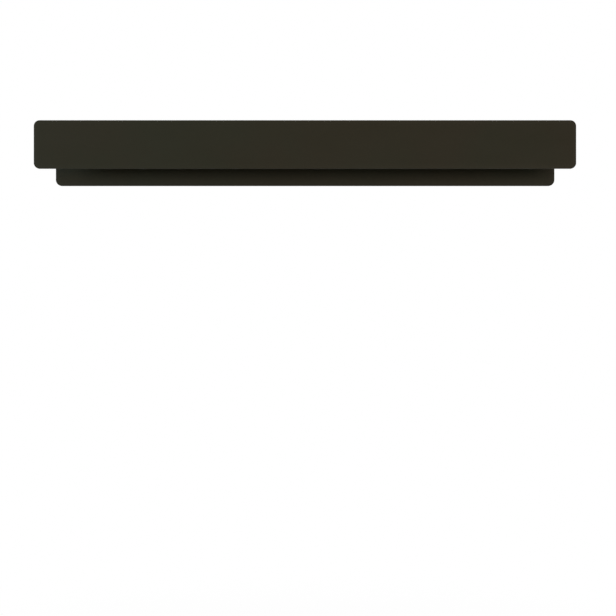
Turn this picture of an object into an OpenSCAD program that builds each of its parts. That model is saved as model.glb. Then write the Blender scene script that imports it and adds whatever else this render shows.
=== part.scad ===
// Wall coat rack with a shallow tray on top and a row of pegs behind the front panel.
// Origin: on the wall plane, midway along the rack, level with the screws it hangs on.
// +X is to the right as seen from the room, -Y faces the room, +Z is up.

/* [Front panel] */
// Length of the front panel
panel_w = 840; // [640:10:1200]
// Height of the front panel
panel_h = 75; // [68:1:110]
// Thickness of the front panel
panel_t = 3; // [2:0.5:4]
// Corner radius of the front panel
panel_corner_r = 9; // [3:1:20]

/* [Wall plate] */
// How much shorter the wall plate is than the panel, at each end
plate_inset = 10; // [2:1:40]
// How far the wall plate reaches below the panel
plate_drop = 15; // [5:1:40]
// Thickness of the wall plate
plate_t = 3; // [3:0.5:5]
// Corner radius of the wall plate
plate_corner_r = 10; // [3:1:20]

/* [Rack] */
// Depth from the wall to the front of the panel
rack_depth = 90; // [80:1:120]

/* [Tray] */
// Depth of the tray's floor below the top edge of the panel
tray_recess = 12; // [6:1:15]
// Thickness of the folded sheet
sheet_t = 2; // [1.5:0.5:2]
// Inside radius of the folds
fold_r = 2; // [1:0.5:3]
// Height of the flanges that are turned down at the front and rear
flange_h = 20; // [18:1:22]
// How much shorter the tray is than the wall plate, at each end
tray_inset = 10; // [2:1:20]

/* [Keyholes] */
// Height of the screws' seats above the lower edge of the panel
seat_h = 34; // [30:1:36]
// Diameter of the round entry, which the head of the wall screw passes through
entry_d = 11; // [9:0.5:12]
// Width of the slot above the entry
slot_w = 5.5; // [4.5:0.5:6]
// Drop from the entry to the seat
keyhole_drop = 10; // [9:1:12]

/* [Pegs] */
// Distance from the axes of the outer pegs to the ends of the wall plate
peg_end = 35; // [25:1:60]
// Height of the pegs' axes above the lower edge of the panel
peg_h = 29; // [26:1:32]
// Length of a peg from the wall plate to the front of its head
peg_len = 52; // [35:1:56]
// Diameter of the shank
shank_d = 14; // [12:1:18]
// Diameter of the head
head_d = 24; // [22:1:26]
// Thickness of the head
head_t = 7; // [6.5:0.5:9]
// Radius of the rounded front rim of the head
head_rim_r = 3; // [1:0.5:4]
// Radius of the rounded rear rim of the head
head_back_r = 1.5; // [0.5:0.5:2]
// Radius of the fillet between shank and head
head_fillet_r = 3; // [1:0.5:3]
// Depth of the tapped hole in the rear of a peg
peg_tap_depth = 16; // [15:1:20]

/* [Countersunk screws] */
// Height of the straight rim round the countersunk heads
screw_rim_h = 0.5; // [0.3:0.05:0.55]
// Depth of the hexagon sockets
socket_depth = 1.6; // [1:0.1:2]
// Chamfer at the tips of screws and studs
tip_chamfer = 0.5; // [0.3:0.1:0.7]

/* [Peg screws] */
// Thread diameter of the peg screws
peg_screw_d = 5; // [5:0.5:6]
// Diameter of their countersunk heads
peg_screw_head_d = 9.3; // [9:0.1:9.5]
// Length of the peg screws over the head
peg_screw_len = 16; // [12:1:16]
// Width of their hexagon sockets across the flats
peg_screw_socket = 3; // [2.5:0.5:3]

/* [Tray screws] */
// Number of fixings along the tray, the same at the front and the rear
fixing_count = 5; // [3:1:7]
// Distance from the outer fixings to the ends of the tray
fixing_end = 25; // [10:1:60]
// Height of the fixings above the lower edge of the tray's flanges
fixing_rise = 8; // [6:0.5:9]
// Thread diameter of the tray screws
tray_screw_d = 4; // [4:0.25:4.5]
// Diameter of their countersunk heads
tray_screw_head_d = 8.4; // [8:0.1:8.5]
// Length of the tray screws over the head
tray_screw_len = 8; // [8:1:10]
// Width of their hexagon sockets across the flats
tray_screw_socket = 2.5; // [2:0.5:2.5]
// Diameter of a clinch nut's body
clinch_body_d = 7.9; // [7.5:0.1:8.5]
// Height of a clinch nut's body
clinch_body_h = 2; // [1.5:0.5:3]
// Diameter of the shank that is pressed into the sheet
clinch_shank_d = 5.4; // [5.2:0.1:6]

/* [Panel studs and nuts] */
// Thread diameter of the weld studs
stud_d = 4; // [3:0.5:4.5]
// Length of a stud behind the panel
stud_len = 9; // [8:0.5:12]
// Diameter of the stud's weld flange
stud_flange_d = 5.5; // [5:0.5:6]
// Thickness of the stud's weld flange
stud_flange_t = 0.8; // [0.6:0.1:1.2]
// Width of the flange nuts across the flats
nut_af = 7; // [6.5:0.5:8]
// Diameter of the nut's flange
nut_flange_d = 10; // [9:0.5:11]
// Thickness of the nut's flange
nut_flange_t = 1; // [0.8:0.1:1.5]
// Height of the nuts
nut_h = 4.6; // [4:0.1:6]

/* [Clearances] */
// Radial clearance of screws in their plain holes
screw_clearance = 0.25; // [0.1:0.05:0.5]
// Radial clearance of the stud flanges in the tray
stud_clearance = 0.35; // [0.2:0.05:0.5]
// How far countersunk heads lie below the rear face of the wall plate
head_recess = 0.1; // [0.05:0.05:0.2]
// Radial clearance where threads, countersinks and pressed shanks meet their holes
snug_clearance = 0.02; // [0.01:0.01:0.05]

/* [Hidden] */
$fn = 96;
peg_count = 6;
// How far a cut reaches past the face that it cuts
hair = 0.02;

// Levels, measured from the screw seats
panel_z0 = -seat_h;
panel_z1 = panel_z0 + panel_h;
plate_z0 = panel_z0 - plate_drop;
plate_h = panel_h + plate_drop;
floor_z1 = panel_z1 - tray_recess;
flange_z0 = floor_z1 - flange_h;
fixing_z = flange_z0 + fixing_rise;
peg_z = panel_z0 + peg_h;
entry_z = -keyhole_drop;

// Lengths and depths
plate_w = panel_w - 2 * plate_inset;
tray_w = plate_w - 2 * tray_inset;
panel_back_y = -(rack_depth - panel_t);
plate_front_y = -plate_t;
tray_d = plate_front_y - panel_back_y;

// Places of what repeats: the keyholes lie halfway between the two pegs at each end
fixing_reach = tray_w / 2 - fixing_end;
peg_reach = plate_w / 2 - peg_end;
peg_pitch = 2 * peg_reach / (peg_count - 1);
keyhole_reach = peg_reach - peg_pitch / 2;
peg_xs = [for (i = [0 : peg_count - 1]) (i - (peg_count - 1) / 2) * peg_pitch];
fixing_xs = [for (i = [0 : fixing_count - 1]) fixing_reach * (2 * i / (fixing_count - 1) - 1)];
keyhole_xs = [-keyhole_reach, keyhole_reach];

// Holes, from what goes in them
peg_screw_hole_d = peg_screw_d + 2 * screw_clearance;
tray_screw_hole_d = tray_screw_d + 2 * screw_clearance;
stud_hole_d = stud_flange_d + 2 * stud_clearance;

coat_black = [0.18, 0.18, 0.15];
zinc = [0.72, 0.73, 0.74];

// A flat plate in the X-Z plane with four rounded corners, its rear face at y = 0
module rounded_plate(w, h, t, r) {
    rotate([90, 0, 0])
        linear_extrude(t)
            union() {
                translate([-w / 2 + r, 0]) square([w - 2 * r, h]);
                translate([-w / 2, r]) square([w, h - 2 * r]);
                for (x = [-w / 2 + r, w / 2 - r], z = [r, h - r])
                    translate([x, z]) circle(r);
            }
}

// A round bar along -Y, from y = 0 towards the room
module bar(d, len) {
    rotate([90, 0, 0]) cylinder(d = d, h = len);
}

// Profile of a countersunk screw, its head's flat face at 0 and its point at len
module countersunk_profile(d, head_d, len) {
    cone_h = (head_d - d) / 2;
    polygon([
        [0, 0], [head_d / 2, 0], [head_d / 2, screw_rim_h], [d / 2, screw_rim_h + cone_h],
        [d / 2, len - tip_chamfer], [d / 2 - tip_chamfer, len], [0, len]
    ]);
}

// A countersunk screw along -Y with a hexagon socket, its head's flat face at y = 0
module countersunk_screw(d, head_d, len, socket) {
    rotate([90, 0, 0])
        difference() {
            rotate_extrude() countersunk_profile(d, head_d, len);
            translate([0, 0, -hair])
                cylinder(d = socket / cos(30), h = socket_depth + hair, $fn = 6);
        }
}

// The hole for such a screw: the same cone, with clearance round the shank and the head
module countersunk_hole(d, head_d, hole_d, through) {
    mouth_r = head_d / 2 + snug_clearance;
    rim_h = screw_rim_h + head_recess;
    cone_h = mouth_r - hole_d / 2;
    rotate([90, 0, 0])
        rotate_extrude()
            polygon([
                [0, -hair], [mouth_r, -hair], [mouth_r, rim_h],
                [hole_d / 2, rim_h + cone_h], [hole_d / 2, through], [0, through]
            ]);
}

// A keyhole through the wall plate: round entry below, slot above, seat at z = 0
module keyhole() {
    slot_r = slot_w / 2;
    translate([0, hair, 0])
        rotate([90, 0, 0])
            linear_extrude(plate_t + 2 * hair)
                union() {
                    translate([0, entry_z]) circle(d = entry_d);
                    translate([0, -slot_r]) circle(slot_r);
                    translate([-slot_r, entry_z]) square([slot_w, keyhole_drop - slot_r]);
                }
}

module back_plate() {
    color(coat_black)
        difference() {
            translate([0, 0, plate_z0])
                rounded_plate(plate_w, plate_h, plate_t, plate_corner_r);
            for (x = keyhole_xs)
                translate([x, 0, 0]) keyhole();
            for (x = peg_xs)
                translate([x, 0, peg_z])
                    countersunk_hole(peg_screw_d, peg_screw_head_d, peg_screw_hole_d, plate_t + hair);
            for (x = fixing_xs)
                translate([x, 0, fixing_z])
                    countersunk_hole(tray_screw_d, tray_screw_head_d, tray_screw_hole_d, plate_t + hair);
        }
}

// Section with its lower edge at 0 and its two upper corners rounded
module arch_profile(w, h, r) {
    translate([-w / 2, 0]) square([w, h - r]);
    translate([-w / 2 + r, 0]) square([w - 2 * r, h]);
    for (x = [-w / 2 + r, w / 2 - r])
        translate([x, h - r]) circle(r);
}

module shelf() {
    outer_r = fold_r + sheet_t;
    middle_y = (plate_front_y + panel_back_y) / 2;
    color(coat_black)
        difference() {
            translate([-tray_w / 2, middle_y, flange_z0])
                rotate([90, 0, 90])
                    linear_extrude(tray_w)
                        difference() {
                            arch_profile(tray_d, flange_h, outer_r);
                            translate([0, -hair])
                                arch_profile(tray_d - 2 * sheet_t, flange_h - sheet_t + hair, fold_r);
                        }
            for (x = fixing_xs) {
                translate([x, panel_back_y + sheet_t + hair, fixing_z])
                    bar(stud_hole_d, sheet_t + 2 * hair);
                translate([x, plate_front_y + hair, fixing_z])
                    bar(clinch_shank_d, sheet_t + 2 * hair);
            }
        }
}

module front_panel() {
    color(coat_black)
        translate([0, panel_back_y, panel_z0])
            rounded_plate(panel_w, panel_h, panel_t, panel_corner_r);
}

// Weld studs stand on the rear of the panel and point at the wall
module panel_studs() {
    color(zinc)
        for (x = fixing_xs)
            translate([x, panel_back_y, fixing_z])
                rotate([-90, 0, 0])
                    rotate_extrude()
                        polygon([
                            [0, 0], [stud_flange_d / 2, 0], [stud_flange_d / 2, stud_flange_t],
                            [stud_d / 2, stud_flange_t], [stud_d / 2, stud_len - tip_chamfer],
                            [stud_d / 2 - tip_chamfer, stud_len], [0, stud_len]
                        ]);
}

// Flange nuts on the studs hold the tray's front flange to the panel
module panel_nuts() {
    color(zinc)
        for (x = fixing_xs)
            translate([x, panel_back_y + sheet_t, fixing_z])
                rotate([-90, 0, 0])
                    difference() {
                        union() {
                            cylinder(d = nut_flange_d, h = nut_flange_t);
                            cylinder(d = nut_af / cos(30), h = nut_h, $fn = 6);
                        }
                        translate([0, 0, -hair])
                            cylinder(d = stud_d + 2 * snug_clearance, h = nut_h + 2 * hair);
                    }
}

// Clinch nuts pressed into the tray's rear flange, their bodies on its inner side
module shelf_clinch_nuts() {
    color(zinc)
        for (x = fixing_xs)
            translate([x, plate_front_y, fixing_z])
                difference() {
                    union() {
                        bar(clinch_shank_d, sheet_t);
                        translate([0, -sheet_t, 0]) bar(clinch_body_d, clinch_body_h);
                    }
                    translate([0, hair, 0])
                        bar(tray_screw_d + 2 * snug_clearance, sheet_t + clinch_body_h + 2 * hair);
                }
}

module shelf_screws() {
    color(zinc)
        for (x = fixing_xs)
            translate([x, -head_recess, fixing_z])
                countersunk_screw(tray_screw_d, tray_screw_head_d, tray_screw_len, tray_screw_socket);
}

// Profile of a peg: its flat rear end at 0, its head's face at peg_len
module peg_profile() {
    shank_r = shank_d / 2;
    head_r = head_d / 2;
    head_y = peg_len - head_t;
    front_r = head_r - head_rim_r;
    rear_r = head_r - head_back_r;
    square([shank_r, peg_len]);
    translate([0, head_y]) square([front_r, head_t]);
    translate([0, head_y]) square([rear_r, head_t - head_rim_r]);
    translate([0, head_y + head_back_r]) square([head_r, head_t - head_rim_r - head_back_r]);
    translate([front_r, peg_len - head_rim_r]) circle(head_rim_r);
    translate([rear_r, head_y + head_back_r]) circle(head_back_r);
    difference() {
        translate([shank_r, head_y - head_fillet_r]) square(head_fillet_r);
        translate([shank_r + head_fillet_r, head_y - head_fillet_r]) circle(head_fillet_r);
    }
}

// A turned mushroom-headed peg with a tapped hole in its rear end
module peg(index) {
    color(coat_black)
        translate([peg_xs[index], plate_front_y, peg_z])
            difference() {
                rotate([90, 0, 0])
                    rotate_extrude() peg_profile();
                translate([0, hair, 0])
                    bar(peg_screw_d + 2 * snug_clearance, peg_tap_depth + hair);
            }
}

module peg_screws() {
    color(zinc)
        for (x = peg_xs)
            translate([x, -head_recess, peg_z])
                countersunk_screw(peg_screw_d, peg_screw_head_d, peg_screw_len, peg_screw_socket);
}

back_plate();
shelf();
front_panel();
panel_studs();
panel_nuts();
shelf_clinch_nuts();
shelf_screws();
peg(0);  // peg_1
peg(1);  // peg_2
peg(2);  // peg_3
peg(3);  // peg_4
peg(4);  // peg_5
peg(5);  // peg_6
peg_screws();
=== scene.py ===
# %% [markdown]
# # Dressing a wall coat rack
# The rack is two flat steel plates held apart by a folded tray, with a row of turned pegs hidden
# between them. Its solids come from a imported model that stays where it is: this lesson models the
# same pieces again by hand, with the soft edges and the finish that a photograph shows, and sets
# each one over the solid that it stands for. Lengths are in metres, as in Blender, and those of the
# rack are written in millimetres times MM.

# %% Load the fixed model
import math

import bmesh
import bpy
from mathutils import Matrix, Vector


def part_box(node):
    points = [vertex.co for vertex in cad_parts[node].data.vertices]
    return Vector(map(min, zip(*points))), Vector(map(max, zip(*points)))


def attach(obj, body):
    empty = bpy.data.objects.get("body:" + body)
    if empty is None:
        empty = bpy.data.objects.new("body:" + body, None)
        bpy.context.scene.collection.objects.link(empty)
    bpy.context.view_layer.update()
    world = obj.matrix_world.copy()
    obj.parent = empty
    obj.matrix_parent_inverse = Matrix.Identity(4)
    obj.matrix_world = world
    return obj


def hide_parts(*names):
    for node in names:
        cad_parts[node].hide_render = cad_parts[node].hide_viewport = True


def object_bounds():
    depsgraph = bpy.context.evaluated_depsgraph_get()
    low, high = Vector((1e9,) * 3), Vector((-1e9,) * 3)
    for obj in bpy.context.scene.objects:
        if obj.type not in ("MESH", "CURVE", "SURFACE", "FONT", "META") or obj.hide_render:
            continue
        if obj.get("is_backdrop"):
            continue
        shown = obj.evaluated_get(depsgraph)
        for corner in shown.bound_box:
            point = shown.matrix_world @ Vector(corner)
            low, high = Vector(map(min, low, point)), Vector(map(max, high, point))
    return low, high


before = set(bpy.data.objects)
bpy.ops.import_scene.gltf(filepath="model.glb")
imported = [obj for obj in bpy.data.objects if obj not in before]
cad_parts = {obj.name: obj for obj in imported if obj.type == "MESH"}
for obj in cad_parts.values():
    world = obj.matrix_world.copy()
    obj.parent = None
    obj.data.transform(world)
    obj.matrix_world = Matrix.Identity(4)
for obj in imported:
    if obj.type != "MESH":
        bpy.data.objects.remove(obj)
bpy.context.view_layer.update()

MM = 0.001

# %% [markdown]
# ## The view first
# The rack was photographed straight on, from close by and a little below. A level camera keeps the
# upright edges upright, so the rack sits high in the picture because the camera is low, and not
# because it is tilted. How much smaller the wall plate looks than the panel in front of it gives
# the distance. The width of the picture at the panel then gives the lens.

# %% Camera
PANEL_DISTANCE = 1398 * MM
EYE_BELOW_TOP = 290.8 * MM
EYE_RIGHT_OF_MIDDLE = 4.7 * MM
PICTURE_WIDTH_AT_PANEL = 953.6 * MM
SENSOR_WIDTH = 36.0

panel_low, panel_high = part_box("front_panel")
camera_data = bpy.data.cameras.new("camera")
camera_data.sensor_width = SENSOR_WIDTH
camera_data.lens = SENSOR_WIDTH * PANEL_DISTANCE / PICTURE_WIDTH_AT_PANEL
camera = bpy.data.objects.new("camera", camera_data)
camera.location = (EYE_RIGHT_OF_MIDDLE, panel_low.y - PANEL_DISTANCE, panel_high.z - EYE_BELOW_TOP)
camera.rotation_euler = (math.radians(90), 0, 0)
bpy.context.collection.objects.link(camera)
bpy.context.scene.camera = camera
print(f"lens {camera_data.lens:.1f} mm, eye at z = {camera.location.z / MM:.0f} mm")

# %% [markdown]
# ## Soft studio light
# A dark matt plate shows little but how light falls off over it. The photograph has soft light in
# front, about level with the rack and a little cooler on the left than on the right, and bright
# surroundings. A cool area light far to the left and a warm one nearer the middle give that. They
# only just reach under the panel, which leaves a soft dark band on the wall plate. A wide light
# above and a wide one behind keep the tray and the rear readable from other sides.

# %% Lights
AIM = Vector((0, -45 * MM, 0))
FRONT_LIGHT_Z = -0.085
COOL = (0.65, 0.88, 1.0)
WARM = (1.0, 0.76, 0.74)
NEUTRAL = (1.0, 1.0, 1.0)


def soft_light(name, place, size, power, colour=NEUTRAL):
    """A rectangular area light, size (width, height) in metres and power in watts."""
    data = bpy.data.lights.new(name, "AREA")
    data.shape = "RECTANGLE"
    data.size, data.size_y = size
    data.energy = power
    data.color = colour
    light = bpy.data.objects.new(name, data)
    light.location = place
    light.rotation_euler = (AIM - Vector(place)).to_track_quat("-Z", "Y").to_euler()
    bpy.context.collection.objects.link(light)


soft_light("front_left", place=(-2.4, -2.6, FRONT_LIGHT_Z), size=(1.4, 0.6), power=63, colour=COOL)
soft_light("front_right", place=(1.2, -3.3, FRONT_LIGHT_Z), size=(1.7, 0.6), power=44, colour=WARM)
soft_light("above", place=(0, -0.3, 2.3), size=(3.0, 1.8), power=31)
soft_light("behind", place=(0, 3.0, 0.5), size=(7.0, 4.4), power=52)

# %% [markdown]
# ## A white background that lights nothing
# The world has two jobs. It lights the rack evenly from all round, at well under full white, and it
# is the plain white that the camera sees. Light Path tells the two apart. What a mirror or a glass
# would show counts as seen too, so the zinc reflects the same white.

# %% World
SURROUNDING_LIGHT = 0.28
WHITE = (1, 1, 1, 1)


def seen_or_mirrored(tree):
    """1 on rays from the camera, from a mirror or through glass, and 0 on the rest."""
    rays = tree.nodes.new("ShaderNodeLightPath")
    kinds = ["Is Camera Ray", "Is Glossy Ray", "Is Transmission Ray"]
    total = rays.outputs[kinds[0]]
    for kind in kinds[1:]:
        larger = tree.nodes.new("ShaderNodeMath")
        larger.operation = "MAXIMUM"
        tree.links.new(total, larger.inputs[0])
        tree.links.new(rays.outputs[kind], larger.inputs[1])
        total = larger.outputs[0]
    return total


world = bpy.data.worlds.new("studio")
bpy.context.scene.world = world
world.use_nodes = True
room = world.node_tree
room.nodes.clear()
lighting = room.nodes.new("ShaderNodeBackground")
lighting.inputs["Color"].default_value = WHITE
lighting.inputs["Strength"].default_value = SURROUNDING_LIGHT
seen = room.nodes.new("ShaderNodeBackground")
seen.inputs["Color"].default_value = WHITE
either = room.nodes.new("ShaderNodeMixShader")
world_output = room.nodes.new("ShaderNodeOutputWorld")
room.links.new(seen_or_mirrored(room), either.inputs[0])
room.links.new(lighting.outputs[0], either.inputs[1])
room.links.new(seen.outputs[0], either.inputs[2])
room.links.new(either.outputs[0], world_output.inputs[0])
bpy.context.scene.view_settings.view_transform = "Standard"
print("surroundings light the rack at", SURROUNDING_LIGHT, "and are seen at 1")

# %% [markdown]
# ## Sums on signals
# A finish is a tree of nodes, and most of its nodes only do sums. Signal wraps one output of the
# tree and overloads the usual operators, so a mask is written as a line of arithmetic, and 1 - mask
# works too. Noise stays between about 0.3 and 0.7 on most of a surface, so the two numbers of a
# rise on it choose how much of the surface a mask takes in.

# %% Signals


class Signal:
    """One output of a finish's tree. Sums on it add Math nodes."""

    def __init__(self, finish, socket):
        self.finish = finish
        self.socket = socket

    def math(self, operation, *values):
        inputs = dict(enumerate(values))
        return self.finish.node("ShaderNodeMath", {"operation": operation}, inputs)

    def __add__(self, other):
        return self.math("ADD", self, other)

    def __sub__(self, other):
        return self.math("SUBTRACT", self, other)

    def __rsub__(self, other):
        return self.math("SUBTRACT", other, self)

    def __mul__(self, other):
        return self.math("MULTIPLY", self, other)

    def __pow__(self, other):
        return self.math("POWER", self, other)

    def __abs__(self):
        return self.math("ABSOLUTE", self)

    def at_least(self, other):
        return self.math("MAXIMUM", self, other)

    def at_most(self, other):
        return self.math("MINIMUM", self, other)

    def rise(self, start, end):
        """0 below start and 1 above end, smooth between them. With start over end it falls."""
        inputs = {"Value": self, "From Min": start, "From Max": end}
        return self.finish.node("ShaderNodeMapRange", {"interpolation_type": "SMOOTHSTEP"}, inputs)

    def lifted(self, least):
        """A mask from 0 to 1, squeezed into least to 1."""
        return least + (1 - least) * self

    __radd__ = __add__
    __rmul__ = __mul__


print("a signal takes the usual sums")

# %% [markdown]
# ## The nodes of a finish
# Every other node comes from one method, Finish.node, which takes a node's type, its settings and
# the values or links of its inputs. The short methods after it name the few kinds that the rack's
# finishes need. Their patterns lie in Object coordinates, which are rack coordinates here, because
# each piece's place is in its mesh.

# %% Finishes


class Finish:
    """A material with one Principled shader, wired by sums on signals."""

    def __init__(self, name):
        self.material = bpy.data.materials.new(name)
        self.material.use_nodes = True
        self.tree = self.material.node_tree
        self.shader = self.tree.nodes["Principled BSDF"]

    def node(self, kind, settings=None, inputs=None, output=0):
        made = self.tree.nodes.new(kind)
        for key, value in (settings or {}).items():
            setattr(made, key, value)
        for key, value in (inputs or {}).items():
            self.feed(made.inputs[key], value)
        return Signal(self, made.outputs[output])

    def feed(self, socket, value):
        if isinstance(value, Signal):
            self.tree.links.new(value.socket, socket)
        else:
            socket.default_value = value

    def set(self, **inputs):
        for key, value in inputs.items():
            self.feed(self.shader.inputs[key.replace("_", " ")], value)

    def place(self):
        """Where a point is on the rack, in metres."""
        return self.node("ShaderNodeTexCoord", output="Object")

    def axes(self, vector):
        split = self.node("ShaderNodeSeparateXYZ", inputs={0: vector})
        outputs = split.socket.node.outputs
        return [Signal(self, outputs[i]) for i in range(3)]

    def upward(self):
        """How far a face looks up: 1 on a floor, 0 on an upright wall, -1 on a ceiling."""
        return self.axes(self.node("ShaderNodeNewGeometry", output="Normal"))[2]

    def stretched(self, vector, factors):
        return self.node("ShaderNodeVectorMath", {"operation": "MULTIPLY"}, {0: vector, 1: factors})

    def turned(self, vector, degrees_about_z):
        rotation = (0, 0, math.radians(degrees_about_z))
        return self.node("ShaderNodeMapping", inputs={"Vector": vector, "Rotation": rotation})

    def noise(self, vector, size, detail):
        """Noise from 0 to 1 whose blotches are about size metres across."""
        inputs = {"Vector": vector, "Scale": 1 / size, "Detail": detail}
        return self.node("ShaderNodeTexNoise", inputs=inputs)

    def mix(self, factor, first, second):
        inputs = {0: factor, 6: first, 7: second}
        return self.node("ShaderNodeMix", {"data_type": "RGBA"}, inputs, output=2)

    def bump(self, height, depth):
        inputs = {"Height": height, "Distance": depth, "Strength": 1.0}
        return self.node("ShaderNodeBump", inputs=inputs)


print("a finish makes all its nodes by one method")

# %% [markdown]
# ## Powder coat
# Powder coat is baked plastic paint. It is sprayed as dust and melts into a skin about 0.08 mm
# thick, so it has fine pebbles and no brush marks. The colour is a nearly black olive, and paler
# where the coat is thin or worn. The pebbles are two sizes of noise. They go into a bump, and a
# painted shade darkens the colour in their hollows, because soft light from all round shows a bump
# alone too little.
# The tone drifts by a few per cent over the length of a hand, and dust lies only on faces that look
# up. A coat this matt hardly mirrors, so its specular level is far below the usual 0.5. In all the
# finishes, a name that ends in PALES, DARKENS, DULLS, ROUGHENS, SMOOTHS or LEVELS says how much its
# mask does where it is full.

# %% Powder coat's pebbles, tone and dust
OLIVE_BLACK = (0.0158, 0.0150, 0.0067, 1)
WARM_BLACK = (0.0172, 0.0144, 0.0064, 1)
# The colour of the painted shade in the pebbles' hollows.
PEBBLE_HOLLOW_SHADE = (0.0060, 0.0057, 0.0032, 1)
WORN_COAT = (0.034, 0.0335, 0.028, 1)
DUST = (0.16, 0.155, 0.145, 1)
COAT_SPECULAR = 0.1
COAT_ROUGHNESS = 0.58
DUST_ROUGHENS = 0.2
PEBBLE = 0.9 * MM
GRAIN = 0.28 * MM
PEBBLE_SHARE = 0.75
PEBBLE_DEPTH = 0.045 * MM
# How far the painted shade darkens the pebbles' hollows.
HOLLOW_SHADE_DARKENS = 0.65
TONE_DRIFT = 160 * MM
DUST_SPECK = 0.8 * MM
DUST_PATCH = 35 * MM


def coat_height(coat, place):
    pebbles = coat.noise(place, PEBBLE, detail=1.5)
    grains = coat.noise(place, GRAIN, detail=1)
    return pebbles * PEBBLE_SHARE + grains * (1 - PEBBLE_SHARE)


# The coat's colour, with painted shade in the hollows of the pebbles.
def tone_and_hollow_shade(coat, place, height):
    drift = coat.noise(place, TONE_DRIFT, detail=3).rise(0.35, 0.65)
    # Painted shade: darker where the pebbles are low.
    hollow_shade = height.rise(0.52, 0.32)
    return coat.mix(hollow_shade * HOLLOW_SHADE_DARKENS, coat.mix(drift, OLIVE_BLACK, WARM_BLACK), PEBBLE_HOLLOW_SHADE)


def dust_mask(coat, place):
    facing_up = coat.upward().rise(0.6, 0.95)
    specks = coat.noise(place, DUST_SPECK, detail=2).rise(0.52, 0.72)
    patches = coat.noise(place, DUST_PATCH, detail=3).rise(0.3, 0.8)
    return facing_up * specks.lifted(0.25) * patches.lifted(0.35)


print(f"pebbles {PEBBLE / MM:.1f} mm wide and {PEBBLE_DEPTH / MM:.3f} mm deep")

# %% [markdown]
# ## How far a point is from a plate's edge
# The coat is not the same beside an edge as in the middle, so a plate's finish needs the distance
# to its outline, a rectangle with round corners. That distance has a short formula: fold the point
# into one quarter, measure it from the centre of the corner's arc, and take off the arc's radius.
# It is negative inside the plate and zero on its outline.

# %% Distance to a rounded rectangle


def outline_distance(coat, place, low, high, corner_r):
    x, _, z = coat.axes(place)
    middle_x = (low.x + high.x) / 2
    middle_z = (low.z + high.z) / 2
    past_x = abs(x - middle_x) - ((high.x - low.x) / 2 - corner_r)
    past_z = abs(z - middle_z) - ((high.z - low.z) / 2 - corner_r)
    outside = (past_x.at_least(0) ** 2 + past_z.at_least(0) ** 2) ** 0.5
    inside = past_x.at_least(past_z).at_most(0)
    return outside + inside - corner_r


print("the distance to an outline is in metres, negative inside it")

# %% [markdown]
# ## The plates' coat
# Molten powder flows a little thicker and smoother in a band beside an edge, and thins on the edge
# itself. The band follows the outline evenly, but the thin line wanders, as a sprayed edge does.
# Both rise from one distance to another, negative inside the outline. Faint smears run along the
# plates, where hands wipe them. Both plates get the same finish, each with its own outline in it.

# %% Plates' coat
PANEL_CORNER_R = 9 * MM
PLATE_CORNER_R = 10 * MM
BAND_RISE = (-9 * MM, -2 * MM)
BAND_SMOOTHS = 0.05
BAND_LEVELS = 0.45
THIN_RISE = (-0.45 * MM, 0.05 * MM)
THIN_WANDER = 0.6 * MM
THIN_PALES = 0.2
THIN_ROUGHENS = 0.2
WANDER_LENGTH = 9 * MM
SMEAR = 45 * MM
SMEAR_STRETCH = (0.35, 1, 1)
SMEAR_ROUGHENS = 0.05
DUST_ON_PLATES = 0.3


def plate_coat(name, low, high, corner_r):
    coat = Finish(name)
    place = coat.place()
    edge = outline_distance(coat, place, low, high, corner_r)
    wander = (coat.noise(place, WANDER_LENGTH, detail=2) - 0.5) * THIN_WANDER
    thin = (edge + wander).rise(*THIN_RISE)
    band = edge.rise(*BAND_RISE) * (1 - thin)
    smears = coat.noise(coat.stretched(place, SMEAR_STRETCH), SMEAR, detail=3).rise(0.4, 0.75)
    dust = dust_mask(coat, place)
    height = coat_height(coat, place)
    tone = coat.mix(THIN_PALES * thin, tone_and_hollow_shade(coat, place, height), WORN_COAT)
    rough = COAT_ROUGHNESS + SMEAR_ROUGHENS * smears - BAND_SMOOTHS * band
    rough = rough + THIN_ROUGHENS * thin + DUST_ROUGHENS * dust
    skin = coat.bump(height * (1 - BAND_LEVELS * band), PEBBLE_DEPTH)
    coat.set(Base_Color=coat.mix(DUST_ON_PLATES * dust, tone, DUST), Roughness=rough)
    coat.set(Normal=skin, Specular_IOR_Level=COAT_SPECULAR)
    return coat.material


plate_low, plate_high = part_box("back_plate")
panel_coat = plate_coat("panel_powder_coat", panel_low, panel_high, PANEL_CORNER_R)
wall_coat = plate_coat("wall_plate_powder_coat", plate_low, plate_high, PLATE_CORNER_R)
print(panel_coat.name, "has", len(panel_coat.node_tree.nodes), "nodes")

# %% [markdown]
# ## The tray's coat, with traces of use
# Keys and other small things slide about in the tray, so its floor has hair-thin scratches, and
# more dust stays beside the two plates than in the middle. A scratch is noise stretched far in one
# direction and cut off near its top. Two sets of them lie at different angles.

# %% Tray's coat
SCRATCH_W = 0.9 * MM
SCRATCH_STRETCH = (0.022, 1, 1)
SCRATCH_GAP = 30 * MM
SCRATCH_ANGLES = (24, -37)
SCRATCH_PALES = 0.35
SCRATCH_DEPTH = 0.5  # of the height of the pebbles
WEAR_SMOOTHS = 0.14
DUST_IN_TRAY = 0.45


def scratches(coat, place, degrees):
    along = coat.stretched(coat.turned(place, degrees), SCRATCH_STRETCH)
    lines = coat.noise(along, SCRATCH_W, detail=1).rise(0.68, 0.78)
    gaps = coat.noise(place, SCRATCH_GAP, detail=2).rise(0.45, 0.7)
    return lines * gaps


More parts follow.
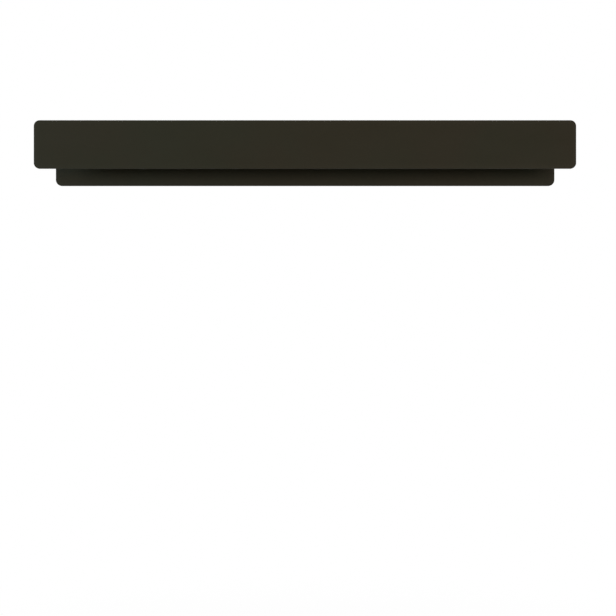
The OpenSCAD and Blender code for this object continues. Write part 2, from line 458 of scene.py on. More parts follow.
def tray_coat(name, low, high):
    coat = Finish(name)
    place = coat.place()
    depth = high.y - low.y
    off_middle = abs(coat.axes(place)[1] - (low.y + high.y) / 2)
    beside_plates = off_middle.rise(0.2 * depth, 0.5 * depth)
    dust = dust_mask(coat, place) * beside_plates.lifted(0.6)
    floor = coat.upward().rise(0.9, 0.99)
    first, second = [scratches(coat, place, degrees) for degrees in SCRATCH_ANGLES]
    worn = (first + second).at_most(1) * floor
    height = coat_height(coat, place)
    tone = coat.mix(SCRATCH_PALES * worn, tone_and_hollow_shade(coat, place, height), WORN_COAT)
    rough = COAT_ROUGHNESS - WEAR_SMOOTHS * worn + DUST_ROUGHENS * dust
    skin = coat.bump(height - SCRATCH_DEPTH * worn, PEBBLE_DEPTH)
    coat.set(Base_Color=coat.mix(DUST_IN_TRAY * dust, tone, DUST), Roughness=rough)
    coat.set(Normal=skin, Specular_IOR_Level=COAT_SPECULAR)
    return coat.material


tray_low, tray_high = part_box("shelf")
tray_finish = tray_coat("tray_powder_coat", tray_low, tray_high)
print(tray_finish.name, "has scratches at", SCRATCH_ANGLES, "degrees")

# %% [markdown]
# ## The pegs' coat
# The pegs have a satin coat, with finer pebbles. A hanging loop slides over the top of a peg each
# time it is used, and rubs the pebbles smooth there. Height above the peg's axis and depth from the
# wall say where that is, because all pegs lie in one row.

# %% Pegs' coat
PEG_SPECULAR = 0.4
PEG_ROUGHNESS = 0.42
PEG_PEBBLE_DEPTH = 0.5 * PEBBLE_DEPTH
SHANK_R = 7 * MM
HEAD_T = 7 * MM
RUB_UP = (0.55 * SHANK_R, 1.05 * SHANK_R)
RUB_FORWARD = (-12 * MM, -26 * MM)
BEHIND_HEAD = (-1 * MM, 2 * MM)
RUB_PATCH = 6 * MM
RUB_PALES = 0.4
RUB_LEVELS = 0.75
DUST_ON_PEGS = 0.2

peg_low, peg_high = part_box("peg_1")
peg_axis_z = (peg_low.z + peg_high.z) / 2


def peg_coat(name):
    coat = Finish(name)
    place = coat.place()
    _, y, z = coat.axes(place)
    top = (z - peg_axis_z).rise(*RUB_UP)
    on_shank = (y - (peg_low.y + HEAD_T)).rise(*BEHIND_HEAD) * y.rise(*RUB_FORWARD)
    patches = coat.noise(place, RUB_PATCH, detail=3).rise(0.25, 0.75)
    rubbed = on_shank * top * patches.lifted(0.45)
    dust = dust_mask(coat, place) * (1 - rubbed)
    height = coat_height(coat, place)
    tone = coat.mix(RUB_PALES * rubbed, tone_and_hollow_shade(coat, place, height), WORN_COAT)
    rough = PEG_ROUGHNESS - WEAR_SMOOTHS * rubbed + DUST_ROUGHENS * dust
    skin = coat.bump(height * (1 - RUB_LEVELS * rubbed), PEG_PEBBLE_DEPTH)
    coat.set(Base_Color=coat.mix(DUST_ON_PEGS * dust, tone, DUST), Roughness=rough)
    coat.set(Normal=skin, Specular_IOR_Level=PEG_SPECULAR)
    return coat.material


peg_finish = peg_coat("peg_powder_coat")
print(f"{peg_finish.name} is rubbed from {RUB_UP[0] / MM:.2f} mm above the pegs' axes")

# %% [markdown]
# ## Bright zinc
# The screws, nuts and studs are plated with bright zinc, a soft blue-grey metal skin that clouds a
# little with age. The clouds are mostly in the roughness. The screws' sockets get a painted shade,
# darker, duller and rougher with depth, which is found by how deep a point lies below the heads'
# faces. The weld flange of each stud was coated along with the panel, so a second use of the same
# finish turns black close to the panel.

# %% Zinc
ZINC = (0.41, 0.425, 0.45, 1)
CLOUDED_ZINC = (0.33, 0.34, 0.355, 1)
# The colour of the painted shade in the screws' sockets.
SOCKET_SHADE_BLACK = (0.05, 0.046, 0.04, 1)
ZINC_ROUGHNESS = 0.27
CLOUD = 1.6 * MM
CLOUD_ROUGHENS = 0.2
SOCKET_DEPTH = 1.6 * MM
# How far the painted shade in a socket darkens, dulls and roughens the zinc.
SOCKET_SHADE_DARKENS = 0.7
SOCKET_SHADE_DULLS = 0.6
SOCKET_SHADE_ROUGHENS = 0.25
PLATING_GRAIN = 0.15 * MM
PLATING_GRAIN_DEPTH = 0.004 * MM
STUD_FLANGE_T = 0.8 * MM
FLANGE_ROUGHNESS = 0.55
FLANGE_TO_BARE = (-0.05 * MM, 0.15 * MM)

panel_back = panel_high.y
flange_top = panel_back + STUD_FLANGE_T


def zinc(name, black_up_to=None):
    plating = Finish(name)
    place = plating.place()
    y = plating.axes(place)[1]
    clouds = plating.noise(place, CLOUD, detail=3).rise(0.3, 0.7)
    in_head = y.rise(-1.8 * SOCKET_DEPTH, -1.5 * SOCKET_DEPTH)
    # Painted shade in the sockets: deeper down is darker, duller and rougher.
    socket_shade = y.rise(-0.1 * SOCKET_DEPTH, -0.9 * SOCKET_DEPTH) * in_head
    tone = plating.mix(SOCKET_SHADE_DARKENS * socket_shade, plating.mix(clouds, ZINC, CLOUDED_ZINC), SOCKET_SHADE_BLACK)
    metal = 1 - SOCKET_SHADE_DULLS * socket_shade
    rough = ZINC_ROUGHNESS + CLOUD_ROUGHENS * clouds + SOCKET_SHADE_ROUGHENS * socket_shade
    if black_up_to is not None:
        bare = (y - black_up_to).rise(*FLANGE_TO_BARE)
        tone = plating.mix(bare, OLIVE_BLACK, tone)
        metal = metal * bare
        rough = FLANGE_ROUGHNESS + (rough - FLANGE_ROUGHNESS) * bare
    grain = plating.noise(place, PLATING_GRAIN, detail=1)
    plating.set(Base_Color=tone, Metallic=metal, Roughness=rough)
    plating.set(Normal=plating.bump(grain, PLATING_GRAIN_DEPTH))
    return plating.material


plain_zinc = zinc("zinc_plating")
stud_zinc = zinc("zinc_on_studs", black_up_to=flange_top)
print(f"{stud_zinc.name} is black up to y = {flange_top / MM:.1f} mm")

# %% [markdown]
# ## Adding a primitive
# Blender's operators act on whatever is selected, so the helpers clear the selection first. One
# adds a block between two corners, and one a round bar along the depth of the rack. Each new piece
# has its transform applied straight away, so a test on a point's place reads in rack coordinates.

# %% Blocks and bars
ROUND_SIDES = 64


def clear_selection():
    bpy.ops.object.select_all(action="DESELECT")


def settle(name):
    """Names the piece just added and moves its place into its mesh."""
    piece = bpy.context.object
    piece.name = piece.data.name = name
    bpy.ops.object.transform_apply(location=True, rotation=True, scale=True)
    return piece


def block(name, low, high):
    clear_selection()
    low, high = Vector(low), Vector(high)
    bpy.ops.mesh.primitive_cube_add(size=1, location=(low + high) / 2, scale=high - low)
    return settle(name)


def bar(name, x, z, y_rear, y_front, radius, sides=ROUND_SIDES):
    """A round bar from y_rear towards the room. Its front end looks along -Y."""
    clear_selection()
    place = (x, (y_rear + y_front) / 2, z)
    depth = y_rear - y_front
    quarter = math.radians(90)
    bpy.ops.mesh.primitive_cylinder_add(
        vertices=sides, radius=radius, depth=depth, location=place, rotation=(quarter, 0, 0)
    )
    return settle(name)


flat_by = 1 - math.cos(math.pi / ROUND_SIDES)
print(f"a bar of {ROUND_SIDES} sides lies within {flat_by:.2%} of its radius from a true circle")

# %% [markdown]
# ## Choosing by place
# By hand one clicks on the points, edges or faces to work on. Here a small test names them, by
# their place or by where they look, and a piece is opened in edit mode with only those selected.

# %% Edit mode on chosen parts
NEAR = 0.01 * MM


def pick(*pieces):
    """Selects these pieces alone and makes the first one active."""
    clear_selection()
    for piece in pieces:
        piece.select_set(True)
    bpy.context.view_layer.objects.active = pieces[0]


def open_with(piece, kind, test):
    """Edit mode on a piece, with what passes the test selected. kind is VERT, EDGE or FACE."""
    pick(piece)
    bpy.ops.object.mode_set(mode="EDIT")
    bpy.ops.mesh.select_mode(type=kind)
    bpy.ops.mesh.select_all(action="DESELECT")
    mesh = bmesh.from_edit_mesh(piece.data)
    for part in {"VERT": mesh.verts, "EDGE": mesh.edges, "FACE": mesh.faces}[kind]:
        if test(part):
            part.select_set(True)
    mesh.select_flush_mode()
    bmesh.update_edit_mesh(piece.data)


def close():
    bpy.ops.object.mode_set(mode="OBJECT")


def everything(part):
    return True


print(f"a test takes a place as met within {NEAR / MM:.2f} mm")

# %% [markdown]
# ## Rounding edges
# A real sheet has no perfectly sharp edge, and the thin bright line along a softened one is what
# makes a dark plate read as metal. Wide corners are bevelled in edit mode, and then a narrow Bevel
# modifier softens the rims that are still sharp. Points that nearly touch are merged, so no edge or
# face is left without a size.

# %% Bevels
MERGE = 0.01 * MM
SHARP_DEGREES = 35


def apply_modifier(piece, kind, **settings):
    pick(piece)
    modifier = piece.modifiers.new(kind.lower(), kind)
    for key, value in settings.items():
        setattr(modifier, key, value)
    bpy.ops.object.modifier_apply(modifier=modifier.name)


def round_edges(piece, test, radius, segments):
    open_with(piece, "EDGE", test)
    bpy.ops.mesh.bevel(offset=radius, segments=segments, profile=0.5, affect="EDGES")
    close()


def merge_close(piece):
    open_with(piece, "VERT", everything)
    bpy.ops.mesh.remove_doubles(threshold=MERGE)
    close()


def soften(piece, radius, segments=3, degrees=SHARP_DEGREES):
    limit = math.radians(degrees)
    apply_modifier(
        piece, "BEVEL", width=radius, segments=segments, limit_method="ANGLE", angle_limit=limit
    )
    merge_close(piece)


def edge_at(y, radius, x, z):
    """A test for the round edge of a turned piece: its depth, radius and axis."""
    def found(edge):
        return all(
            abs(v.co.y - y) < NEAR and abs(math.hypot(v.co.x - x, v.co.z - z) - radius) < NEAR
            for v in edge.verts
        )
    return found


print(f"points within {MERGE / MM:.2f} mm of each other are merged")

# %% [markdown]
# ## Cutting holes
# Holes are cut last, by one Boolean modifier for all of them: a Boolean for each hole can lose a
# face of an earlier one. The sheet is divided between the holes before they are cut, which keeps
# the faces round a hole short, so no sliver is left at its rim.

# %% Cuts


def cut(piece, cutter, operation="DIFFERENCE"):
    apply_modifier(piece, "BOOLEAN", operation=operation, object=cutter, solver="EXACT")
    bpy.data.objects.remove(cutter, do_unlink=True)
    merge_close(piece)


def divide(piece, point, direction):
    open_with(piece, "FACE", everything)
    bpy.ops.mesh.bisect(plane_co=point, plane_no=direction)
    close()


def divide_between(piece, xs):
    """Divides a sheet midway between holes that are still to be cut."""
    columns = sorted(xs)
    for left, right in zip(columns, columns[1:]):
        if right - left > MM:
            divide(piece, ((left + right) / 2, 0, 0), (1, 0, 0))


def drill(piece, cutters):
    """Cuts all holes of a piece at once, with their cutters joined into one mesh."""
    pick(*cutters)
    bpy.ops.object.join()
    cut(piece, cutters[0])


print("all holes of a piece are cut at once")

# %% [markdown]
# ## Smooth shading
# Bevels and cuts leave faces with many corners, which are made even triangles. The rest is
# shading. Faces that meet at a shallow angle are shaded as one round surface, and a Weighted Normal
# modifier keeps the large flat faces looking flat beside a narrow bevel.

# %% Smoothing


def many_cornered(face):
    return len(face.verts) > 4


def smooth(piece, degrees=SHARP_DEGREES):
    open_with(piece, "FACE", many_cornered)
    bpy.ops.mesh.quads_convert_to_tris(quad_method="BEAUTY", ngon_method="BEAUTY")
    close()
    pick(piece)
    bpy.ops.object.shade_smooth_by_angle(angle=math.radians(degrees))
    apply_modifier(piece, "WEIGHTED_NORMAL", keep_sharp=True)


print("an edge stays sharp over", SHARP_DEGREES, "degrees, unless a piece asks for another angle")

# %% [markdown]
# ## Handing a piece over
# A finished piece gets its material, is attached to the body it moves with, and hides the solid
# that it stands for. The same function measures it, cut into triangles as in a printable file: how
# many there are, and whether the surface is closed, which is so when each edge has exactly two
# faces.

# %% Hand over
created = []


def hand_over(piece, node, material):
    piece.data.materials.clear()
    piece.data.materials.append(material)
    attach(piece, "root")
    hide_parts(node)
    mesh = bmesh.new()
    mesh.from_mesh(piece.data)
    bmesh.ops.triangulate(mesh, faces=mesh.faces)
    open_edges = sum(1 for edge in mesh.edges if len(edge.link_faces) != 2)
    triangles = len(mesh.faces)
    outwards = mesh.calc_volume(signed=True) > 0
    mesh.free()
    size = [round(v / MM, 1) for v in piece.dimensions]
    state = "closed" if open_edges == 0 and outwards else f"{open_edges} open edges or inside out"
    print(f"{piece.name}: {size} mm, {triangles} triangles, {state}")
    created.append(piece.name)


print("each piece is measured as it is handed over")

# %% [markdown]
# ## The front panel
# The panel is a strip of 3 mm sheet with four round corners and nothing on its face. It could be an
# outline with a Solidify modifier. A block is simpler here: its four edges that run front to back
# are bevelled wide for the corners, and then the sharp rim is bevelled narrow for the soft edge
# that the coat leaves.

# %% Front panel
CORNER_SEGMENTS = 14
PLATE_EDGE_R = 0.5 * MM


def runs_front_to_back(edge):
    along = edge.verts[1].co - edge.verts[0].co
    return abs(along.y) > NEAR and abs(along.x) < NEAR and abs(along.z) < NEAR


def rounded_plate(name, low, high, corner_r):
    plate = block(name, low, high)
    round_edges(plate, runs_front_to_back, corner_r, CORNER_SEGMENTS)
    soften(plate, PLATE_EDGE_R)
    return plate


front_panel = rounded_plate("coated_front_panel", panel_low, panel_high, PANEL_CORNER_R)
smooth(front_panel)
hand_over(front_panel, "front_panel", panel_coat)

# %% [markdown]
# ## Where the fasteners are
# The studs, nuts and tray screws share one row, and the peg screws lie on the pegs' axes. Both rows
# are read from the boxes of the solids, so they can't drift from what they hold. Each keyhole lies
# midway between the two pegs at its end.

# %% Rows of fasteners
FIXING_COUNT = 5
PEG_COUNT = 6

studs_low, studs_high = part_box("panel_studs")
fixing_z = (studs_low.z + studs_high.z) / 2
stud_flange_r = (studs_high.z - studs_low.z) / 2
fixing_reach = studs_high.x - stud_flange_r
fixing_xs = [fixing_reach * (2 * i / (FIXING_COUNT - 1) - 1) for i in range(FIXING_COUNT)]
peg_boxes = [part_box(f"peg_{i + 1}") for i in range(PEG_COUNT)]
peg_xs = [(low.x + high.x) / 2 for low, high in peg_boxes]
keyhole_xs = [(peg_xs[0] + peg_xs[1]) / 2, (peg_xs[-2] + peg_xs[-1]) / 2]
print("fixings at", [round(x / MM, 1) for x in fixing_xs], "pegs at", [round(x / MM) for x in peg_xs])
print("keyholes at", [round(x / MM) for x in keyhole_xs])

# %% [markdown]
# ## Extruding the end of a bar
# A turned part is a row of bars and cones on one axis. Extruding the end face of a bar and then
# resizing it gives the next stretch: a cone where it changes on the way, a step where it is first
# extruded in place. Without a window Blender ignores the pivot setting, so the centre of each
# resizing is given.

# %% Steps and cones


def looks_back(face):
    return face.normal.y > 0.99


def looks_front(face):
    return face.normal.y < -0.99


def extrude_by(*move):
    bpy.ops.mesh.extrude_region_move(TRANSFORM_OT_translate={"value": move})


def resize_about(x, z, factor):
    bpy.ops.transform.resize(value=(factor, 1, factor), center_override=(x, 0, z))


def widen(piece, radius, new_radius, x, z, move):
    """Adds a cone at the rear end of a bar, or more of the bar where the radius stays."""
    open_with(piece, "FACE", looks_back)
    extrude_by(0, move, 0)
    resize_about(x, z, new_radius / radius)
    close()


def add_disc(piece, radius, disc_r, x, z, thickness):
    """Adds a wider disc at the front end of a bar."""
    open_with(piece, "FACE", looks_front)
    extrude_by(0, 0, 0)
    resize_about(x, z, disc_r / radius)
    extrude_by(0, -thickness, 0)
    close()


print("cones go on the rear end of a bar, and discs on its front end")

# %% [markdown]
# ## Cutters for the wall plate
# The wall plate is cut through: two keyholes for the wall screws, and countersunk holes for the
# screws that come in from behind. A keyhole's cutter is a wide bar joined to a slot with a round
# top. A countersink's is a thin bar, a cone up to the screw head's size and a straight end.

# %% Cutters
ENTRY_R = 5.5 * MM
SLOT_W = 5.5 * MM
KEYHOLE_DROP = 10 * MM
SCREW_GAP = 0.25 * MM
SCREW_RIM = 0.5 * MM
HEAD_RECESS = 0.1 * MM
THROUGH = 1 * MM


def countersink_cutter(x, z, thread_r, head_r):
    hole_r = thread_r + SCREW_GAP
    cone_end = -(SCREW_RIM + HEAD_RECESS)
    cone_start = cone_end - (head_r - hole_r)
    cutter = bar("countersink", x, z, cone_start, plate_low.y - THROUGH, hole_r)
    widen(cutter, hole_r, head_r, x, z, cone_end - cone_start)
    widen(cutter, head_r, head_r, x, z, THROUGH - cone_end)
    return cutter


def keyhole_cutter(x):
    half = SLOT_W / 2
    top_r = 0.999 * half  # a full half would leave edges of no length at the top
    low = (x - half, plate_low.y - THROUGH, -KEYHOLE_DROP)
    high = (x + half, THROUGH, 0)
    slot = block("slot", low, high)

    def upper_corner(edge):
        return runs_front_to_back(edge) and edge.verts[0].co.z > -NEAR

    round_edges(slot, upper_corner, top_r, segments=12)
    cutter = bar("entry", x, -KEYHOLE_DROP, THROUGH, plate_low.y - THROUGH, ENTRY_R)
    cut(cutter, slot, "UNION")
    return cutter


print(f"cutters reach {THROUGH / MM:.0f} mm past the faces that they cut")

# %% [markdown]
# ## The wall plate
# The plate starts as the panel did, and is divided between its holes before they are drilled. The
# coat leaves no rim sharp, so those of the keyholes are bevelled last. The countersinks keep theirs,
# which the screw heads fill.

# %% Wall plate
PEG_SCREW_R = 2.5 * MM
PEG_SCREW_HEAD_R = 4.65 * MM
TRAY_SCREW_R = 2 * MM
TRAY_SCREW_HEAD_R = 4.2 * MM
KEYHOLE_EDGE_R = 0.3 * MM


def keyhole_rim(edge):
    """A test for the edges where a keyhole meets the two faces of the plate."""
    middle = (edge.verts[0].co + edge.verts[1].co) / 2
    beside = any(abs(middle.x - x) < ENTRY_R + NEAR for x in keyhole_xs)
    in_height = -KEYHOLE_DROP - ENTRY_R - NEAR < middle.z < NEAR
    sharp = edge.calc_face_angle(0) > math.radians(SHARP_DEGREES)
    return beside and in_height and sharp and not runs_front_to_back(edge)


back_plate = rounded_plate("coated_wall_plate", plate_low, plate_high, PLATE_CORNER_R)
divide_between(back_plate, keyhole_xs + peg_xs + fixing_xs)
divide(back_plate, (0, 0, (peg_axis_z + fixing_z) / 2), (0, 0, 1))
cutters = [keyhole_cutter(x) for x in keyhole_xs]
cutters += [countersink_cutter(x, peg_axis_z, PEG_SCREW_R, PEG_SCREW_HEAD_R) for x in peg_xs]
cutters += [countersink_cutter(x, fixing_z, TRAY_SCREW_R, TRAY_SCREW_HEAD_R) for x in fixing_xs]
drill(back_plate, cutters)
round_edges(back_plate, keyhole_rim, KEYHOLE_EDGE_R, segments=2)
smooth(back_plate)
hand_over(back_plate, "back_plate", wall_coat)

# %% [markdown]
# ## The tray's sheet
# The tray is one sheet, folded down along its front and rear edges. It is modelled the way it is
# folded. A flat sheet has its two long edges extruded down, the folds are rounded by a bevel, and a
# Solidify modifier gives it 2 mm of steel on the inner side. The outer fold radius is the inner one
# plus the sheet, as in the press brake.

# %% Folded sheet
SHEET_T = 2 * MM
FOLD_R = 2 * MM
TRAY_EDGE_R = 0.3 * MM


def flat_sheet(name):
    clear_selection()
    middle = (0, (tray_low.y + tray_high.y) / 2, tray_high.z)
    bpy.ops.mesh.primitive_plane_add(size=1, location=middle)
    bpy.context.object.scale = (tray_high.x - tray_low.x, tray_high.y - tray_low.y, 1)
    return settle(name)


def long_edge(edge):
    along = edge.verts[1].co - edge.verts[0].co
    return abs(along.x) > NEAR


def fold_line(edge):
    return long_edge(edge) and edge.verts[0].co.z > tray_high.z - NEAR


tray = flat_sheet("coated_tray")
open_with(tray, "EDGE", long_edge)
extrude_by(0, 0, tray_low.z - tray_high.z)
close()
round_edges(tray, fold_line, FOLD_R + SHEET_T, segments=10)
open_with(tray, "FACE", everything)
bpy.ops.mesh.normals_make_consistent(inside=False)
close()
apply_modifier(tray, "SOLIDIFY", thickness=SHEET_T, offset=-1, use_even_offset=True)
soften(tray, TRAY_EDGE_R)
print("folded sheet has", len(tray.data.polygons), "faces")

# %% [markdown]
# ## The tray's holes
# The panel's studs go through the front flange of the tray, and clinch nuts sit in its rear flange.
# Both rows of holes are drilled at once.

# %% Tray
STUD_HOLE_R = 3.1 * MM
CLINCH_SHANK_R = 2.7 * MM

divide_between(tray, fixing_xs)
front_inside = tray_low.y + SHEET_T + THROUGH
front_outside = tray_low.y - THROUGH
rear_inside = tray_high.y - SHEET_T - THROUGH
rear_outside = tray_high.y + THROUGH
cutters = [bar("stud_hole", x, fixing_z, front_inside, front_outside, STUD_HOLE_R) for x in fixing_xs]
cutters += [bar("nut_hole", x, fixing_z, rear_outside, rear_inside, CLINCH_SHANK_R) for x in fixing_xs]
drill(tray, cutters)
smooth(tray)
hand_over(tray, "shelf", tray_finish)

# %% [markdown]
# ## The pegs
# Each peg is turned from bar: a shank, a wide flat head with a round rim, and a fillet between them
# that a loop slides along. The peg could be spun from a drawn profile. Extruding is closer to how
# one thinks of it: a bar, its front end widened into a disc, then the disc's two rims and the inner
# corner rounded with bevels. The tapped hole in its rear end is an inset pushed inwards.

# %% Pegs
PEG_SIDES = 96
HEAD_R = 12 * MM
HEAD_RIM_R = 3 * MM
HEAD_BACK_R = 1.5 * MM
NECK_R = 3 * MM
TAP_DEPTH = 16 * MM
SNUG = 0.02 * MM


def turned_peg(name, low, high):
    x, z = (low.x + high.x) / 2, (low.z + high.z) / 2
    head_back = low.y + HEAD_T
    peg = bar(name, x, z, high.y, head_back, SHANK_R, PEG_SIDES)

    def rear_end(face):
        return looks_back(face) and face.calc_center_median().y > high.y - NEAR

    add_disc(peg, SHANK_R, HEAD_R, x, z, HEAD_T)
    round_edges(peg, edge_at(low.y, HEAD_R, x, z), HEAD_RIM_R, segments=8)
    round_edges(peg, edge_at(head_back, HEAD_R, x, z), HEAD_BACK_R, segments=6)
    round_edges(peg, edge_at(head_back, SHANK_R, x, z), NECK_R, segments=8)
    open_with(peg, "FACE", rear_end)
    bpy.ops.mesh.inset(thickness=SHANK_R - PEG_SCREW_R - SNUG)
    extrude_by(0, -TAP_DEPTH, 0)
    close()
    smooth(peg)
    return peg


for number, (low, high) in enumerate(peg_boxes, start=1):
    peg = turned_peg(f"turned_peg_{number}", low, high)
    hand_over(peg, f"peg_{number}", peg_finish)

# %% [markdown]
# ## Threads
# The tips of the studs and of the tray screws show from below, so every fastener here has a real
# thread. A Screw modifier would wind one from a profile, but its ends would be open. Here a bar is
# divided into thin rings along its length. Then each point moves in towards the axis by how far it
# is from the crest, which climbs one pitch in each turn. The surface stays closed.

# %% Threaded bars
THREAD_SIDES = 36
RINGS_PER_PITCH = 6
DEPTH_OF_PITCH = 0.61


def threaded(piece, x, z, y_start, y_end, radius, pitch):
    """Cuts a thread into the stretch of a bar between two depths, y_start being the rearmost."""
    rings = round((y_start - y_end) / pitch * RINGS_PER_PITCH)

    def thread_side(edge):
        return runs_front_to_back(edge) and all(
            y_end - NEAR < v.co.y < y_start + NEAR for v in edge.verts
        )

    open_with(piece, "EDGE", thread_side)
    bpy.ops.mesh.subdivide(number_cuts=rings)
    close()
    depth = DEPTH_OF_PITCH * pitch
    for vertex in piece.data.vertices:
        along = y_start - vertex.co.y
        if NEAR < along < y_start - y_end - NEAR:
            turn = math.atan2(vertex.co.z - z, vertex.co.x - x) / math.tau
            phase = (along / pitch + turn) % 1
            inward = depth * abs(2 * phase - 1)
            fade = min(1, along / pitch, (y_start - y_end - along) / pitch)
            scale = 1 - inward * fade / radius
            vertex.co.x = x + (vertex.co.x - x) * scale
            vertex.co.z = z + (vertex.co.z - z) * scale


print(f"a thread has {THREAD_SIDES} sides and {RINGS_PER_PITCH} rings in each pitch")

# %% [markdown]
# ## Weld studs
# Each stud is a threaded bar that stands on its weld flange, a thin disc on the rear of the panel.
# One is modelled in the first place of the row and copied to the others, as all fasteners are.

# %% Studs
STUD_R = 2 * MM
M4_PITCH = 0.7 * MM
TIP_CHAMFER = 0.5 * MM

first_x = fixing_xs[0]


def weld_stud(name, x, z):
    tip = studs_high.y
    stud = bar(name, x, z, tip, flange_top, STUD_R, THREAD_SIDES)
    add_disc(stud, STUD_R, stud_flange_r, x, z, STUD_FLANGE_T)
    round_edges(stud, edge_at(tip, STUD_R, x, z), TIP_CHAMFER, segments=1)
    threaded(stud, x, z, tip - TIP_CHAMFER, flange_top, STUD_R, M4_PITCH)
    smooth(stud, degrees=50)
    return stud


def copy_to(piece, name, shift):
    """A copy with its own mesh, moved in its mesh."""
    pick(piece)
    bpy.ops.object.duplicate(linked=False)
    bpy.context.object.location = shift
    return settle(name)


def repeat_along(piece, base_name, xs, node, material):
    """Hands over a piece that stands at the first place, and a copy at each other place."""
    for number, x in enumerate(xs[1:], start=2):
        twin = copy_to(piece, f"{base_name}_{number}", (x - xs[0], 0, 0))
        hand_over(twin, node, material)
    hand_over(piece, node, material)


stud = weld_stud("weld_stud_1", first_x, fixing_z)
repeat_along(stud, "weld_stud", fixing_xs, "panel_studs", stud_zinc)

# %% [markdown]
# ## Flange nuts
# A nut's hexagon has its corners turned off by a cone. That is made here as the part that a hexagon
# and a bevelled disc have in common. A round flange is joined to it, and the bore is cut through
# both.

# %% Flange nuts
NUT_AF = 7 * MM
NUT_FLANGE_R = 5 * MM
NUT_FLANGE_T = 1 * MM
NUT_FLANGE_RIM_R = 0.45 * MM
CORNERS_OFF = 0.9 * MM
NUT_EDGE_R = 0.12 * MM
BORE_SIDES = 48

nuts_low, nuts_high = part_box("panel_nuts")


def corner_radius(across_flats):
    """How far the corners of a hexagon lie from its middle."""
    return across_flats / 2 / math.cos(math.radians(30))


def flange_nut(name, x, z):
    seat, top = nuts_low.y, nuts_high.y
    flange_face = seat + NUT_FLANGE_T
    in_flange = seat + NUT_FLANGE_T / 2  # so that hexagon and flange overlap
    hexagon_r = corner_radius(NUT_AF)
    disc_r = 1.002 * hexagon_r  # just clear of the hexagon's corners
    nut = bar(name, x, z, top, in_flange, hexagon_r, sides=6)
    disc = bar("disc", x, z, top, seat, disc_r)
    round_edges(disc, edge_at(top, disc_r, x, z), CORNERS_OFF, segments=1)
    cut(nut, disc, "INTERSECT")
    flange = bar("flange", x, z, flange_face, seat, NUT_FLANGE_R)
    round_edges(flange, edge_at(flange_face, NUT_FLANGE_R, x, z), NUT_FLANGE_RIM_R, segments=4)
    cut(nut, flange, "UNION")
    cut(nut, bar("bore", x, z, top + THROUGH, seat - THROUGH, STUD_R + SNUG, BORE_SIDES))
    soften(nut, NUT_EDGE_R, segments=2, degrees=25)
    smooth(nut, degrees=25)
    return nut


nut = flange_nut("flange_nut_1", first_x, fixing_z)
repeat_along(nut, "flange_nut", fixing_xs, "panel_nuts", plain_zinc)

# %% [markdown]
# ## Clinch nuts
# A clinch nut is a plain collar with a thinner shank, which was pressed into the tray's rear flange.
# Its two round parts are bars, joined by a Boolean and bored through.

# %% Clinch nuts
CLINCH_R = 3.95 * MM
CLINCH_RIM_R = 0.35 * MM
OVERLAP = 0.5 * MM

clinch_low, clinch_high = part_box("shelf_clinch_nuts")


def clinch_nut(name, x, z):
    sheet_face = clinch_high.y - SHEET_T
    nut = bar(name, x, z, sheet_face, clinch_low.y, CLINCH_R)
    round_edges(nut, edge_at(clinch_low.y, CLINCH_R, x, z), CLINCH_RIM_R, segments=3)
    shank = bar("shank", x, z, clinch_high.y, sheet_face - OVERLAP, CLINCH_SHANK_R - SNUG)
    cut(nut, shank, "UNION")
    cut(nut, bar("bore", x, z, THROUGH, clinch_low.y - THROUGH, TRAY_SCREW_R + SNUG, BORE_SIDES))
    soften(nut, NUT_EDGE_R, segments=2)
    smooth(nut)
    return nut


nut = clinch_nut("clinch_nut_1", first_x, fixing_z)
repeat_along(nut, "clinch_nut", fixing_xs, "shelf_clinch_nuts", plain_zinc)

# %% [markdown]
# ## Countersunk screws
# A countersunk screw is a threaded bar whose rear end widens into a cone and a thin straight rim.
# The hexagon socket is cut by a six-sided bar. Poking the bar's front face gives it a shallow
# point, as the punch leaves at a socket's bottom. The tray screws and the peg screws differ only in
# their sizes.

# %% Screws
M5_PITCH = 0.8 * MM
HEAD_EDGE_R = 0.15 * MM
SOCKET_POINT = 0.4 * MM
TRAY_SCREW_SOCKET = 2.5 * MM
PEG_SCREW_SOCKET = 3 * MM


def countersunk_screw(name, x, z, tip, radius, head_r, socket, pitch):
    head_face = -HEAD_RECESS
    cone_end = head_face - SCREW_RIM
    cone_start = cone_end - (head_r - radius)
    screw = bar(name, x, z, cone_start, tip, radius, THREAD_SIDES)
    widen(screw, radius, head_r, x, z, cone_end - cone_start)
    widen(screw, head_r, head_r, x, z, SCREW_RIM)
    round_edges(screw, edge_at(tip, radius, x, z), TIP_CHAMFER, segments=1)
    round_edges(screw, edge_at(head_face, head_r, x, z), HEAD_EDGE_R, segments=2)
    socket_end = head_face - SOCKET_DEPTH
    socket_bar = bar("socket", x, z, THROUGH, socket_end, corner_radius(socket), sides=6)
    open_with(socket_bar, "FACE", looks_front)
    bpy.ops.mesh.poke(offset=SOCKET_POINT)
    close()
    cut(screw, socket_bar)
    threaded(screw, x, z, cone_start, tip + TIP_CHAMFER, radius, pitch)
    smooth(screw, degrees=40)
    return screw


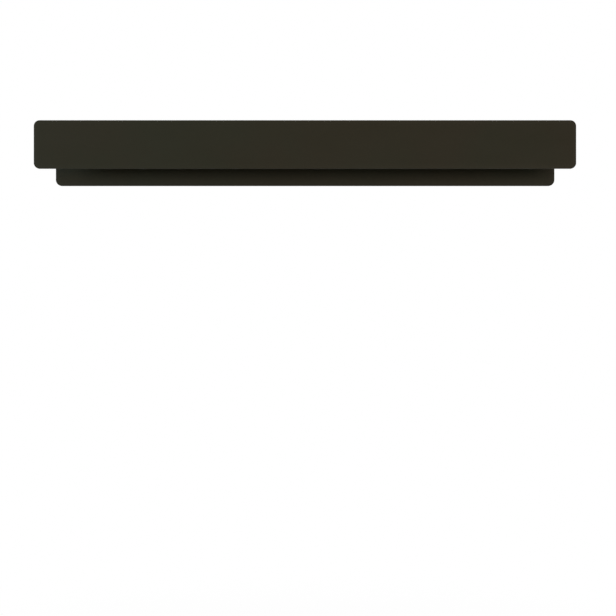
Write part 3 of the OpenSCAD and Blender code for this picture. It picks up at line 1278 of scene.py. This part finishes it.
tray_screws_low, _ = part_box("shelf_screws")
tray_screw = countersunk_screw(
    "tray_screw_1", first_x, fixing_z, tray_screws_low.y,
    TRAY_SCREW_R, TRAY_SCREW_HEAD_R, TRAY_SCREW_SOCKET, M4_PITCH,
)
repeat_along(tray_screw, "tray_screw", fixing_xs, "shelf_screws", plain_zinc)

peg_screws_low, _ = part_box("peg_screws")
peg_screw = countersunk_screw(
    "peg_screw_1", peg_xs[0], peg_axis_z, peg_screws_low.y,
    PEG_SCREW_R, PEG_SCREW_HEAD_R, PEG_SCREW_SOCKET, M5_PITCH,
)
repeat_along(peg_screw, "peg_screw", peg_xs, "peg_screws", plain_zinc)

# %% [markdown]
# ## The floor
# The rack hangs at shoulder height, so the floor lies well below it and outside the camera's view.
# It is a pale disc that catches the rack's soft shadow in views from above. Seen by the camera it
# is mostly the background's own white, and wholly so towards its rim, so no edge of it shows.

# %% Floor
FLOOR_BELOW = 1500 * MM
FLOOR_R = 3000 * MM
PALE = (0.8, 0.8, 0.79, 1)

clear_selection()
bpy.ops.mesh.primitive_circle_add(
    vertices=96, radius=FLOOR_R, fill_type="NGON", location=(0, 0, -FLOOR_BELOW)
)
floor = settle("floor")
pale = Finish("pale_floor")
pale.set(Base_Color=PALE, Roughness=0.8)
across, along, _ = pale.axes(pale.place())
rim = ((across ** 2 + along ** 2) ** 0.5).rise(0.2 * FLOOR_R, 0.95 * FLOOR_R)
seen_ray = Signal(pale, seen_or_mirrored(pale.tree))
glow = pale.node("ShaderNodeEmission", inputs={"Color": WHITE, "Strength": 1.0})
lit = Signal(pale, pale.shader.outputs[0])
share = seen_ray * rim.lifted(0.85)
seen_floor = pale.node("ShaderNodeMixShader", inputs={0: share, 1: lit, 2: glow})
pale.feed(pale.tree.nodes["Material Output"].inputs["Surface"], seen_floor)
floor.data.materials.append(pale.material)
floor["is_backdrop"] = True
print(f"the floor lies {FLOOR_BELOW / MM:.0f} mm below the keyholes' seats")

# %% [markdown]
# ## Measure and finish
# The dressed rack has to fill the same box as the solids, because other people's parts mate with
# those. The dressed box is printed.

# %% Sizes
low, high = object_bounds()
print("pieces:", len(created), "dressed box, mm:", [round(v / MM, 2) for v in high - low])
